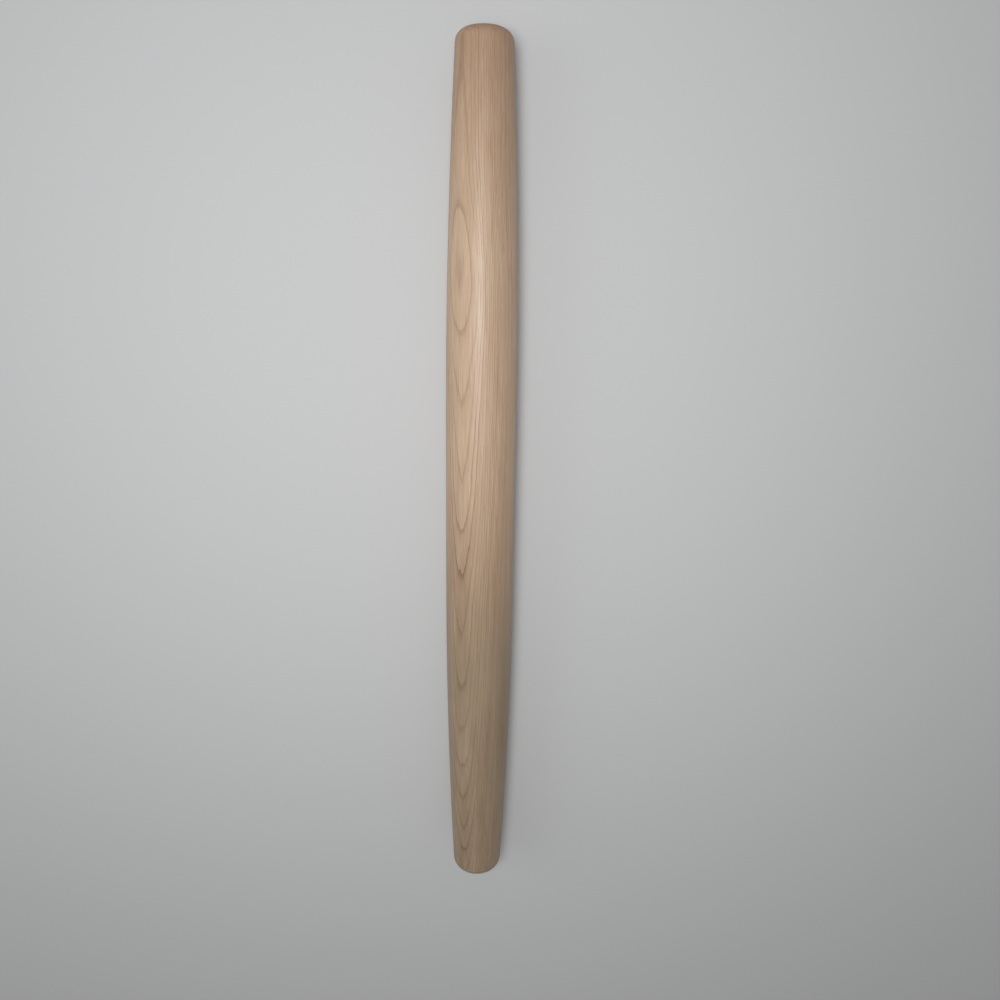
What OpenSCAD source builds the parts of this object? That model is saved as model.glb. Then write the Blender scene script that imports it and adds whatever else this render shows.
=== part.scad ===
// French rolling pin, turned from one length of hard maple.
// It lies along X on a worktop at Z = 0, with its middle over the origin. Millimetres.

/* [Barrel] */
// Length of the whole pin, from end face to end face
pin_l = 508; // [420:1:600]
// Diameter of the straight middle that rolls on the dough
barrel_d = 41.3; // [38:0.1:56]
// Length of the straight middle, before the tapers begin
barrel_l = 100; // [40:1:200]

/* [Tapered ends] */
// Diameter that each taper reaches at its end face, before the rim is rounded
end_d = 30.8; // [24:0.1:36]
// Radius of the rounding round the rim of each end face
rim_r = 5.5; // [2:0.5:9]

/* [Hidden] */
$fn = 180;

maple = "#C9AD94";

// The lathe turns each taper as one long arc, tangent to the straight middle.
barrel_r = barrel_d / 2;
end_r = end_d / 2;
half_l = pin_l / 2;
taper_start = barrel_l / 2;
taper_l = half_l - taper_start;
taper_drop = barrel_r - end_r;
taper_arc_r = (taper_l ^ 2 + taper_drop ^ 2) / (2 * taper_drop);
taper_arc_y = barrel_r - taper_arc_r;

// The rim's rounding is tangent to the taper's arc and to the flat end face.
rim_x = half_l - rim_r;
rim_turn = asin((rim_x - taper_start) / (taper_arc_r - rim_r));
rim_y = taper_arc_y + (taper_arc_r - rim_r) * cos(rim_turn);

taper_steps = 24;
rim_steps = 12;

// Points of an arc that starts straight up from its centre and turns towards +X.
function arc(centre, radius, from, to, steps) = [
    for (i = [0 : steps])
        let (turn = from + (to - from) * i / steps)
        centre + radius * [sin(turn), cos(turn)]
];

// Half of the pin's outline, as [distance from the middle, radius].
function half_outline() = concat(
    arc([taper_start, taper_arc_y], taper_arc_r, 0, rim_turn, taper_steps),
    arc([rim_x, rim_y], rim_r, rim_turn + 90 / rim_steps, 90, rim_steps)
);

// The outline that the lathe spins: the end faces close it on the axis.
module turned_outline() {
    right = half_outline();
    last = len(right) - 1;
    polygon(concat(
        [[0, -half_l]],
        [for (i = [last : -1 : 0]) [right[i].y, -right[i].x]],
        [for (p = right) [p.y, p.x]],
        [[0, half_l]]
    ));
}

module pin_body() {
    color(maple)
        translate([0, 0, barrel_r])
            rotate([0, 90, 0])
                rotate_extrude()
                    turned_outline();
}

pin_body();
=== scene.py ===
# French rolling pin, turned from hard maple, lying on a plain pale table.
import functools
import math

import bpy
from mathutils import Matrix, Vector


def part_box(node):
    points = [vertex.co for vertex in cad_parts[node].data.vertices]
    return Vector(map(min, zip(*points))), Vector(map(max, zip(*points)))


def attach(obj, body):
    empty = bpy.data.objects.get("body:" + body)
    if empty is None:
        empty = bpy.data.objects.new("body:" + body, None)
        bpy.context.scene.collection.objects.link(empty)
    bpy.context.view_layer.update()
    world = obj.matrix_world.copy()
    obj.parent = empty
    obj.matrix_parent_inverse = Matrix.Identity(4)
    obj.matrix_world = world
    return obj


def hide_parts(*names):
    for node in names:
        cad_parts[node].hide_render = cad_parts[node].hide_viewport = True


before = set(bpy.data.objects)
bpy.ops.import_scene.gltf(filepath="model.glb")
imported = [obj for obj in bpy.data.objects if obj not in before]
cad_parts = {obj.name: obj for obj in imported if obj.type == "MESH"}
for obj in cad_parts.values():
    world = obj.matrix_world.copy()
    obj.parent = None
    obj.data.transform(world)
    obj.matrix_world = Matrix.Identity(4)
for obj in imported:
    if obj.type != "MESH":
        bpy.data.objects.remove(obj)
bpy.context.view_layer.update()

# The scene is in metres.
MM = 0.001

# The driving sizes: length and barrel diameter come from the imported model.
box_low, box_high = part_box("pin_body")
PIN_L = box_high[0] - box_low[0]
BARREL_D = box_high[2] - box_low[2]
BARREL_L = 100 * MM
END_D = 30.8 * MM
RIM_R = 5.5 * MM
AXIS_Z = BARREL_D / 2

# Hand sanding leaves slow waves: up to this deep, and about this far apart along the pin.
SANDING_DEPTH = 0.04 * MM
SANDING_SPACING = 30 * MM
# How much the waves change round the pin, and which waves these are.
SANDING_SWING = 0.4
SANDING_SEED = 7.0

TURNING_SIZES = {"Length": PIN_L, "Barrel diameter": BARREL_D, "Barrel length": BARREL_L,
                 "End diameter": END_D, "Rim radius": RIM_R, "Sanding depth": SANDING_DEPTH,
                 "Sanding spacing": SANDING_SPACING, "Seed": SANDING_SEED}

# How finely the turned surface is divided.
RINGS_ALONG = 240
POINTS_AROUND = 256
MERGE_DISTANCE = 0.001 * MM

# Growth rings, in millimetres: the pith lies this far behind the pin's axis.
PITH_DISTANCE = 60.0
# The bark side faces this way round from straight up, and turns further near one end.
BARK_TURN = (math.radians(31), math.radians(44))
BARK_TURN_FROM_TO = (60.0, 200.0)
# How much deeper into the rings the face lies, at places along the pin.
GRAIN_LEAN = [(-254, 8.4), (-147, 8.7), (-73, 8.1), (0, 6.0),
              (68, 4.1), (140, 1.0), (194, 0.1), (254, -2.6)]
LEAN_RANGE = (-4.0, 10.0)
# A swelling in the trunk leaves a closed eye in the figure.
EYE_PLACE, EYE_LENGTH, EYE_WIDTH, EYE_HEIGHT = 132.0, 22.0, 8.0, 2.3
# Rings nearer the bark than this depth are wide; those further in are about a millimetre.
WIDE_RING_EDGE, WIDE_RING, USUAL_RING = 4.4, 2.25, 0.98
# The years are counted from this one, so that the count never falls below zero.
FIRST_YEAR = 40.0
# Late wood's darkness at shares of a year's growth, from the bark side in.
LATE_WOOD = ((0.08, 0.75), (0.16, 0.28), (0.42, 0.0), (0.95, 0.0))
LATE_WOOD_STRENGTH = (0.3, 0.95)
# How far apart in depth the slow waves and the fine ripples can carry a ring.
WAVE_MM, RIPPLE_MM = 0.9, 0.32

# Noise in the wood: repeats per millimetre along the trunk and the two ways across it, how many
# finer layers of noise lie on the first, and how strong they are. Waves are about 83 by 11 mm,
# ripples 17 by 1.7 mm and patches 100 by 9 mm. Real fibres are a few hundredths of a millimetre
# wide; they are drawn up to 0.7 mm wide, to show.
WOOD_NOISE = {"wave": ((0.012, 0.09, 0.09), 2.0, 0.5),
              "ripple": ((0.06, 0.6, 0.6), 3.0, 0.5),
              "patch": ((0.01, 0.11, 0.11), 3.0, 0.5),
              "fibre": ((0.035, 1.5, 1.5), 4.0, 0.75)}
# Flecks where rays meet the face are about 0.3 mm wide and 2 mm long.
FLECK_PER_MM = (0.25, 1.8, 1.8)
FLECK_EDGE = (0.08, 0.24)
# Sanding on the lathe leaves scratches round the pin, drawn about 0.5 mm apart, to show.
SCRATCHES_PER_MM = 2.0
# Rays cross the end grain's rings, about 0.4 mm apart at the pin's axis and 8 mm long.
RAYS_PER_RADIAN, RAYS_PER_MM = 160.0, 0.12

# Painted shade darkens the wood more and more between these distances from its least shaded place,
# where the light falls most. The shade goes from grey to brown between these places along the pin, all
# in millimetres.
LEAST_SHADED_PLACE = 90.0
END_SHADE_FROM_TO = (40.0, 210.0)
GREY_TO_BROWN = (-100.0, 160.0)
END_SHADE_STRENGTH = 0.50
END_SHADE_EVENLY, END_SHADE_IN_PATCHES = 0.55, 0.9

# The colours, in written sRGB.
EARLY_WOOD = "#c8b096"
WARM_WOOD = "#b6957b"
DARK_FIBRE = "#8f6c53"
PALE_FIBRE = "#e4d2bc"
RAY_FLECK = "#8d6b52"
LATE_LINE = "#80604a"
# The next two colours are the painted shade on the ends.
GREY_END_SHADE = "#665c47"
BROWN_END_SHADE = "#7f5538"
OILED_END_GRAIN = "#8f6a4c"
TABLE_TOP = "#c9cacb"
ROOM_BEHIND = "#d6d7d8"
ROOM_LIGHT = "#f4f4f2"

# How strongly the years, the patches and both together bring out the warm wood.
YEAR_TONE, PATCH_TONE, WARM_STRENGTH = 0.35, 0.9, 0.8
# Where in the fibre noise each shade of fibre starts, and how fast it grows from there.
DARK_FIBRE_FROM, DARK_FIBRE_GAIN = 0.50, 2.2
PALE_FIBRE_FROM, PALE_FIBRE_GAIN = 0.47, 1.8
FLECK_STRENGTH, LINE_STRENGTH = 0.28, 0.9
# How sharply end grain begins at the rim, and how strongly it and its rays darken.
END_GRAIN_SHARPNESS = 3.0
END_GRAIN_STRENGTH, RAY_STRENGTH = 0.3, 0.4
# Fibres and scratches stand up in the surface, and ring lines are sunk into it.
FIBRE_RELIEF, SCRATCH_RELIEF, LINE_RELIEF = 0.6, 0.25, 0.3
RELIEF_STRENGTH, RELIEF_DEPTH = 0.25, 0.04 * MM
# The oiled wood is satin, and rougher along its fibres and on its end grain.
SATIN, FIBRE_ROUGHNESS, END_GRAIN_ROUGHNESS = 0.36, 0.14, 0.15
OILED_WOOD_IOR = 1.47

# The table's half width, and how far it lies below the pin, so that the two don't overlap.
TABLE_HALF, TABLE_GAP = 4.0, 0.1 * MM
# The table fades into the room between these distances from the middle, in metres.
TABLE_FADE_FROM_TO = (0.6, 2.2)

# The photograph's camera: a phone's 26 mm equivalent lens, leaning towards one end of the pin.
PHOTO_PX = 1000
FOCAL_PX = 751
SENSOR_MM = 36.0
CAMERA_TILT = math.radians(13.99)
CAMERA_ROLL = 0.016
CAMERA_DISTANCE = 453.8 * MM
PIN_MIDDLE_PX = (480.33, 502.2)


def srgb(text):
    """A written sRGB colour, such as #c9ab93, as linear red, green, blue and alpha."""
    parts = [int(text[i:i + 2], 16) / 255 for i in (1, 3, 5)]
    return [p / 12.92 if p <= 0.04045 else ((p + 0.055) / 1.055) ** 2.4 for p in parts] + [1.0]


def add(tree, kind, *values, out=0, **settings):
    """Adds a node with its settings, fills or links its inputs, and gives one of its outputs.
    A kind may end in an operation, as in Math ADD. Inputs come in order, or by name in a dict."""
    kind, _, operation = kind.partition(" ")
    made = tree.nodes.new(kind if kind.startswith(("Geometry", "NodeGroup")) else "ShaderNode" + kind)
    if operation:
        made.operation = operation
    for name, value in settings.items():
        setattr(made, name, value)
    inputs = values[0] if values and isinstance(values[0], dict) else dict(enumerate(values))
    for key, value in inputs.items():
        if isinstance(value, bpy.types.NodeSocket):
            tree.links.new(value, made.inputs[key])
        else:
            made.inputs[key].default_value = value
    return made.outputs[out] if len(made.outputs) else made


def emptied_tree(owner):
    """The node tree of a material or a world, with nothing in it."""
    owner.use_nodes = True
    owner.node_tree.nodes.clear()
    return owner.node_tree


def outline_radius(put, size, x):
    """The pin's radius at x: a straight middle, two long arcs and rounded rims."""
    half_l = put("Math MULTIPLY", size["Length"], 0.5)
    barrel_r = put("Math MULTIPLY", size["Barrel diameter"], 0.5)
    end_r = put("Math MULTIPLY", size["End diameter"], 0.5)
    straight = put("Math MULTIPLY", size["Barrel length"], 0.5)
    past_middle = put("Math ABSOLUTE", x)

    # Each taper is one long arc, tangent to the straight middle.
    taper_l = put("Math SUBTRACT", half_l, straight)
    taper_drop = put("Math SUBTRACT", barrel_r, end_r)
    squares = put("Math ADD", put("Math MULTIPLY", taper_l, taper_l),
                  put("Math MULTIPLY", taper_drop, taper_drop))
    arc_r = put("Math DIVIDE", squares, put("Math MULTIPLY", taper_drop, 2.0))
    into_taper = put("Math MAXIMUM", put("Math SUBTRACT", past_middle, straight), 0.0)
    arc_square = put("Math SUBTRACT", put("Math MULTIPLY", arc_r, arc_r),
                     put("Math MULTIPLY", into_taper, into_taper))
    arc_height = put("Math SQRT", arc_square)
    tapered = put("Math SUBTRACT", barrel_r, put("Math SUBTRACT", arc_r, arc_height))

    # The rim is a quarter of a circle that ends in the flat end face.
    rim = size["Rim radius"]
    rim_start = put("Math SUBTRACT", half_l, rim)
    into_rim = put("Math MAXIMUM", put("Math SUBTRACT", past_middle, rim_start), 0.0)
    rim_square = put("Math SUBTRACT", put("Math MULTIPLY", rim, rim),
                     put("Math MULTIPLY", into_rim, into_rim))
    rim_height = put("Math SQRT", put("Math MAXIMUM", rim_square, 0.0))
    return put("Math SUBTRACT", tapered, put("Math SUBTRACT", rim, rim_height))


def turning_tree(material):
    """Geometry Nodes that turn the pin from its named sizes."""
    tree = bpy.data.node_groups.new("turned_pin", "GeometryNodeTree")
    tree.interface.new_socket("Geometry", in_out="OUTPUT", socket_type="NodeSocketGeometry")
    for name in TURNING_SIZES:
        tree.interface.new_socket(name, in_out="INPUT", socket_type="NodeSocketFloat")
    put = functools.partial(add, tree)
    size = put("NodeGroupInput").node.outputs

    grid = put("GeometryNodeMeshGrid", {"Size X": 1.0, "Size Y": 1.0, "Vertices X": RINGS_ALONG,
                                        "Vertices Y": POINTS_AROUND + 1})
    along, around, _ = put("SeparateXYZ", put("GeometryNodeInputPosition")).node.outputs

    # The last two rings at each end share its flat face: one is its edge, the other its centre.
    stretched = put("Math MULTIPLY", along, (RINGS_ALONG - 1) / (RINGS_ALONG - 3))
    clamped = put("Math MAXIMUM", put("Math MINIMUM", stretched, 0.5), -0.5)
    # The sine sets the rings closer together towards the rims.
    half_l = put("Math MULTIPLY", size["Length"], 0.5)
    x = put("Math MULTIPLY", half_l, put("Math SINE", put("Math MULTIPLY", clamped, math.pi)))
    rounded = outline_radius(put, size, x)

    # Sanding by hand takes up to a few hundredths of a millimetre off, in slow waves.
    turn = put("Math MULTIPLY", around, 2 * math.pi)
    swing = put("Math MULTIPLY", put("Math COSINE", turn), SANDING_SWING)
    wave_place = put("CombineXYZ", put("Math DIVIDE", x, size["Sanding spacing"]), swing, size["Seed"])
    wave = put("TexNoise", {"Vector": wave_place, "Scale": 1.0, "Detail": 1.0})
    sanded = put("Math SUBTRACT", rounded, put("Math MULTIPLY", wave, size["Sanding depth"]))
    half_step = 0.5 / (RINGS_ALONG - 1)
    is_centre = put("Math GREATER_THAN", put("Math ABSOLUTE", along), 0.5 - half_step)
    radius = put("Math MULTIPLY", sanded, put("Math SUBTRACT", 1.0, is_centre))

    barrel_r = put("Math MULTIPLY", size["Barrel diameter"], 0.5)
    y = put("Math MULTIPLY", radius, put("Math SINE", turn))
    z = put("Math ADD", barrel_r, put("Math MULTIPLY", radius, put("Math COSINE", turn)))
    spot = put("CombineXYZ", x, y, z)
    body = put("GeometryNodeSetPosition", {"Geometry": grid, "Position": spot})
    body = put("GeometryNodeMergeByDistance", {"Geometry": body, "Distance": MERGE_DISTANCE})
    body = put("GeometryNodeSetShadeSmooth", {"Geometry": body, "Shade Smooth": True})
    body = put("GeometryNodeRealizeInstances", {"Geometry": body})
    body = put("GeometryNodeSetMaterial", {"Geometry": body, "Material": material})
    put("NodeGroupOutput", body)
    return tree


def turn_pin(material):
    """Turns the pin, and gives it as a plain mesh at its place in the frame."""
    blank = bpy.data.objects.new("blank", bpy.data.meshes.new("blank"))
    bpy.context.collection.objects.link(blank)
    lathe = blank.modifiers.new("lathe", "NODES")
    lathe.node_group = turning_tree(material)
    for socket in lathe.node_group.interface.items_tree:
        if socket.name in TURNING_SIZES:
            lathe[socket.identifier] = TURNING_SIZES[socket.name]
    seen = blank.evaluated_get(bpy.context.evaluated_depsgraph_get())
    mesh = bpy.data.meshes.new_from_object(seen)
    bpy.data.objects.remove(blank)
    turned = bpy.data.objects.new("turned_pin", mesh)
    bpy.context.collection.objects.link(turned)
    # The faces must point outwards: a closed mesh turned inside out has a negative volume.
    mesh.calc_loop_triangles()
    corners = [[mesh.vertices[v].co for v in face.vertices] for face in mesh.loop_triangles]
    if sum(a.dot(b.cross(c)) for a, b, c in corners) < 0:
        mesh.flip_normals()
    return turned


def grain_lean(put, x):
    """How much deeper into the rings the face lies at x, from the short list of places."""
    half_mm = PIN_L / 2 / MM
    low, high = LEAN_RANGE
    lean = put("FloatCurve", {"Value": put("Math DIVIDE", put("Math ADD", x, half_mm), 2 * half_mm)})
    curve = lean.node.mapping.curves[0]
    spots = [((place + half_mm) / (2 * half_mm), (rise - low) / (high - low))
             for place, rise in GRAIN_LEAN]
    curve.points[0].location = spots[0]
    curve.points[1].location = spots[-1]
    for spot in spots[1:-1]:
        curve.points.new(*spot)
    lean.node.mapping.update()
    return put("Math ADD", put("Math MULTIPLY", lean, high - low), low)


def growth_year(put, x, across, from_pith, noise):
    """The count of years below the bark side, with the year's growth as its fraction."""
    wave = put("Math MULTIPLY", put("Math SUBTRACT", noise["wave"], 0.5), WAVE_MM)
    ripple = put("Math MULTIPLY", put("Math SUBTRACT", noise["ripple"], 0.5), RIPPLE_MM)
    wobble = put("Math ADD", wave, ripple)

    # Depth below the bark side, in millimetres as the flat-sawn face shows it.
    barrel_r = BARREL_D / 2 / MM
    face_scale = (barrel_r + PITH_DISTANCE) / PITH_DISTANCE
    below_bark = put("Math SUBTRACT", barrel_r + PITH_DISTANCE, from_pith)
    depth = put("Math MULTIPLY", below_bark, face_scale)
    eye_x = put("Math DIVIDE", put("Math SUBTRACT", x, EYE_PLACE), EYE_LENGTH)
    eye_y = put("Math DIVIDE", across, EYE_WIDTH)
    squares = put("Math ADD", put("Math POWER", eye_x, 2.0), put("Math POWER", eye_y, 2.0))
    eye = put("Math EXPONENT", put("Math MULTIPLY", squares, -0.5))
    raised = put("Math SUBTRACT", wobble, put("Math MULTIPLY", eye, EYE_HEIGHT))
    depth = put("Math ADD", depth, put("Math ADD", grain_lean(put, x), raised))
    past_wide = put("Math SUBTRACT", depth, WIDE_RING_EDGE)
    count = put("Math MAXIMUM", put("Math DIVIDE", past_wide, WIDE_RING),
                put("Math DIVIDE", past_wide, USUAL_RING))
    return put("Math ADD", count, FIRST_YEAR)


def late_wood(put, year, year_chance):
    """A thin dark line for each year, sharp on the bark side and soft on the other."""
    line = put("ValToRGB", put("Math FRACT", year))
    stops = line.node.color_ramp.elements
    for stop, place in zip(stops, (0.0, 1.0)):
        stop.position = place
        stop.color = (1, 1, 1, 1)
    for place, tone in LATE_WOOD:
        stops.new(place).color = (tone, tone, tone, 1)
    weakest, strongest = LATE_WOOD_STRENGTH
    strength = put("MapRange", {"Value": year_chance, "To Min": weakest, "To Max": strongest})
    return put("Math MULTIPLY", line, strength)


def face_layers(put, place, year_chance, late, noise):
    """The long grain's layers of colour, each as a strength and a shade, from the lowest up."""
    years = put("Math MULTIPLY", year_chance, YEAR_TONE)
    patches = put("Math MULTIPLY", noise["patch"], PATCH_TONE)
    warm = put("Math MULTIPLY", put("Math ADD", years, patches), WARM_STRENGTH, use_clamp=True)
    over = put("Math SUBTRACT", noise["fibre"], DARK_FIBRE_FROM)
    dark = put("Math MULTIPLY", over, DARK_FIBRE_GAIN, use_clamp=True)
    under = put("Math SUBTRACT", PALE_FIBRE_FROM, noise["fibre"])
    pale = put("Math MULTIPLY", under, PALE_FIBRE_GAIN, use_clamp=True)
    fleck_place = put("Mapping", {"Vector": place, "Scale": FLECK_PER_MM})
    fleck = put("TexVoronoi", {"Vector": fleck_place, "Scale": 1.0}, out="Distance")
    fleck = put("MapRange", {"Value": fleck, "From Min": FLECK_EDGE[0], "From Max": FLECK_EDGE[1],
                             "To Min": 1.0, "To Max": 0.0})
    return [(warm, srgb(WARM_WOOD)), (dark, srgb(DARK_FIBRE)), (pale, srgb(PALE_FIBRE)),
            (put("Math MULTIPLY", fleck, FLECK_STRENGTH), srgb(RAY_FLECK)),
            (put("Math MULTIPLY", late, LINE_STRENGTH), srgb(LATE_LINE))]


def painted_end_shade_layer(put, x, patch):
    """Painted shade darkens both tapers in patches, away from the most lit place: browner at one end,
    greyer at the other.
    """
    # Painted shade: the wood gets darker the further it lies from the most lit place.
    from_least_shaded = put("Math ABSOLUTE", put("Math SUBTRACT", x, LEAST_SHADED_PLACE))
    end_shade = put("MapRange", {"Value": from_least_shaded, "From Min": END_SHADE_FROM_TO[0],
                               "From Max": END_SHADE_FROM_TO[1], "To Max": END_SHADE_STRENGTH},
                  interpolation_type="SMOOTHSTEP")
    patches = put("Math ADD", END_SHADE_EVENLY, put("Math MULTIPLY", patch, END_SHADE_IN_PATCHES))
    which_end = put("MapRange", {"Value": x, "From Min": GREY_TO_BROWN[0],
                                 "From Max": GREY_TO_BROWN[1]})
    shade = put("Mix", {"Factor": which_end, "A": srgb(GREY_END_SHADE), "B": srgb(BROWN_END_SHADE)},
                out="Result", data_type="RGBA")
    return put("Math MULTIPLY", end_shade, patches), shade


def end_grain_layer(put, end_grain, across, outward, from_pith):
    """End grain drinks more oil, so it is darker, and rays cross its rings."""
    angle = put("Math ARCTAN2", across, put("Math ADD", outward, PITH_DISTANCE))
    ray_place = put("CombineXYZ", put("Math MULTIPLY", angle, RAYS_PER_RADIAN),
                    put("Math MULTIPLY", from_pith, RAYS_PER_MM))
    ray = put("TexNoise", {"Vector": ray_place, "Scale": 1.0, "Detail": 2.0})
    rayed = put("Math ADD", END_GRAIN_STRENGTH, put("Math MULTIPLY", ray, RAY_STRENGTH))
    return put("Math MULTIPLY", end_grain, rayed), srgb(OILED_END_GRAIN)


def hard_maple():
    """Hard maple, turned, sanded on the lathe and lightly oiled.
    It is a pinkish tan with thin brown ring lines, fine fibre streaks and a dull satin shine."""
    material = bpy.data.materials.new("hard_maple_turned_sanded_oiled")
    put = functools.partial(add, emptied_tree(material))

    # Millimetres from the pin's middle, then turned so that outward points at the bark side.
    coords = put("TexCoord", out="Object")
    place = put("Mapping", {"Vector": coords, "Location": (0, 0, -AXIS_Z / MM),
                            "Scale": (1 / MM, 1 / MM, 1 / MM)})
    x = put("SeparateXYZ", place)
    bark = put("MapRange", {"Value": x, "From Min": BARK_TURN_FROM_TO[0],
                            "From Max": BARK_TURN_FROM_TO[1], "To Min": BARK_TURN[0],
                            "To Max": BARK_TURN[1]}, interpolation_type="SMOOTHSTEP")
    turned = put("VectorRotate", {"Vector": place, "Angle": bark}, rotation_type="X_AXIS")
    _, across, outward = put("SeparateXYZ", turned).node.outputs
    pith_square = put("Math POWER", put("Math ADD", outward, PITH_DISTANCE), 2.0)
    from_pith = put("Math SQRT", put("Math ADD", pith_square, put("Math MULTIPLY", across, across)))

    noise = {}
    for name, (per_mm, detail, roughness) in WOOD_NOISE.items():
        stretched = put("Mapping", {"Vector": place, "Scale": per_mm})
        noise[name] = put("TexNoise", {"Vector": stretched, "Scale": 1.0, "Detail": detail,
                                       "Roughness": roughness})

    year = growth_year(put, x, across, from_pith, noise)
    year_chance = put("TexWhiteNoise", {"W": put("Math FLOOR", year)}, noise_dimensions="1D")
    late = late_wood(put, year, year_chance)
    facing = put("SeparateXYZ", put("TexCoord", out="Normal"))
    end_grain = put("Math POWER", put("Math ABSOLUTE", facing), END_GRAIN_SHARPNESS)

    layers = face_layers(put, place, year_chance, late, noise)
    # Painted shade: both ends are darkened where the light falls off.
    layers.append(painted_end_shade_layer(put, x, noise["patch"]))
    layers.append(end_grain_layer(put, end_grain, across, outward, from_pith))
    colour = srgb(EARLY_WOOD)
    for strength, shade in layers:
        colour = put("Mix", {"Factor": strength, "A": colour, "B": shade}, out="Result",
                     data_type="RGBA")

    scratch = put("TexNoise", {"W": put("Math MULTIPLY", x, SCRATCHES_PER_MM), "Scale": 1.0,
                               "Detail": 2.0}, noise_dimensions="1D")
    marks = put("Math SUBTRACT", put("Math MULTIPLY", scratch, SCRATCH_RELIEF),
                put("Math MULTIPLY", late, LINE_RELIEF))
    height = put("Math ADD", put("Math MULTIPLY", noise["fibre"], FIBRE_RELIEF), marks)
    bump = put("Bump", {"Height": height, "Strength": RELIEF_STRENGTH, "Distance": RELIEF_DEPTH})
    rougher = put("Math ADD", put("Math MULTIPLY", noise["fibre"], FIBRE_ROUGHNESS),
                  put("Math MULTIPLY", end_grain, END_GRAIN_ROUGHNESS))
    surface = put("BsdfPrincipled", {"Base Color": colour, "Normal": bump, "IOR": OILED_WOOD_IOR,
                                     "Roughness": put("Math ADD", SATIN, rougher)})
    put("OutputMaterial", {"Surface": surface})
    return material


def pale_table():
    """A plain matt pale table top for the pin to lie on."""
    material = bpy.data.materials.new("matt_pale_table")
    put = functools.partial(add, emptied_tree(material))
    surface = put("BsdfPrincipled", {"Base Color": srgb(TABLE_TOP), "Roughness": 0.9})
    # Far from the pin the table fades into the pale room; low views show a grey band before that.
    away = put("VectorMath LENGTH", put("TexCoord", out="Object"), out="Value")
    fade = put("MapRange", {"Value": away, "From Min": TABLE_FADE_FROM_TO[0],
                            "From Max": TABLE_FADE_FROM_TO[1]}, interpolation_type="SMOOTHSTEP")
    fade = put("Math MULTIPLY", fade, put("LightPath", out="Is Camera Ray"))
    room = put("Emission", {"Color": srgb(ROOM_BEHIND), "Strength": 1.0})
    put("OutputMaterial", {"Surface": put("MixShader", fade, surface, room)})
    mesh = bpy.data.meshes.new("table_top")
    corners = [(x * TABLE_HALF, y * TABLE_HALF, -TABLE_GAP)
               for x, y in ((-1, -1), (1, -1), (1, 1), (-1, 1))]
    mesh.from_pydata(corners, [], [(0, 1, 2, 3)])
    mesh.materials.append(material)
    table = bpy.data.objects.new("table_top", mesh)
    bpy.context.collection.objects.link(table)


def photo_camera():
    """Looks down at the pin as the photograph does, with the pin's +X end at the top."""
    cos_t, sin_t = math.cos(CAMERA_TILT), math.sin(CAMERA_TILT)
    cos_r, sin_r = math.cos(CAMERA_ROLL), math.sin(CAMERA_ROLL)
    tilt = Matrix(((1, 0, 0), (0, cos_t, -sin_t), (0, sin_t, cos_t)))
    roll = Matrix(((cos_r, -sin_r, 0), (sin_r, cos_r, 0), (0, 0, 1)))
    to_photo = Matrix(((0, -1, 0), (-1, 0, 0), (0, 0, -1)))
    to_camera = roll @ tilt @ to_photo
    offset = [(px - PHOTO_PX / 2) / FOCAL_PX * CAMERA_DISTANCE for px in PIN_MIDDLE_PX]
    place = Vector((0, 0, AXIS_Z)) - to_camera.transposed() @ Vector((*offset, CAMERA_DISTANCE))
    axes = to_camera.transposed() @ Matrix(((1, 0, 0), (0, -1, 0), (0, 0, -1)))
    data = bpy.data.cameras.new("camera")
    data.sensor_width = SENSOR_MM
    data.lens = FOCAL_PX / PHOTO_PX * SENSOR_MM
    data.clip_start = 0.01
    camera = bpy.data.objects.new("camera", data)
    camera.matrix_world = Matrix.Translation(place) @ axes.to_4x4()
    bpy.context.collection.objects.link(camera)
    bpy.context.scene.camera = camera


def softbox(name, place, aim, width, watts):
    """A square soft lamp at a place, turned towards the point that it lights."""
    data = bpy.data.lights.new(name, "AREA")
    data.size = width
    data.energy = watts
    lamp = bpy.data.objects.new(name, data)
    lamp.location = place
    lamp.rotation_euler = (Vector(aim) - Vector(place)).to_track_quat("-Z", "Y").to_euler()
    bpy.context.collection.objects.link(lamp)


def studio_light():
    """A soft key lamp above the pin, a softer one from its +Y side, and a pale room."""
    softbox("key", place=(0.13, 0.05, 0.62), aim=(0.10, 0, 0), width=0.22, watts=2.6)
    softbox("side", place=(0.10, 0.95, 0.55), aim=(0.05, 0, 0), width=0.7, watts=1.6)
    world = bpy.data.worlds.new("pale_room")
    put = functools.partial(add, emptied_tree(world))
    seen = put("LightPath", out="Is Camera Ray")
    lit = put("Background", {"Color": srgb(ROOM_LIGHT), "Strength": 0.30})
    shown = put("Background", {"Color": srgb(ROOM_BEHIND), "Strength": 1.0})
    put("OutputWorld", {"Surface": put("MixShader", seen, lit, shown)})
    bpy.context.scene.world = world


photo_camera()
pale_table()
studio_light()
pin = turn_pin(hard_maple())
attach(pin, "root")
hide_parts("pin_body")
bpy.context.scene.view_settings.view_transform = "Standard"
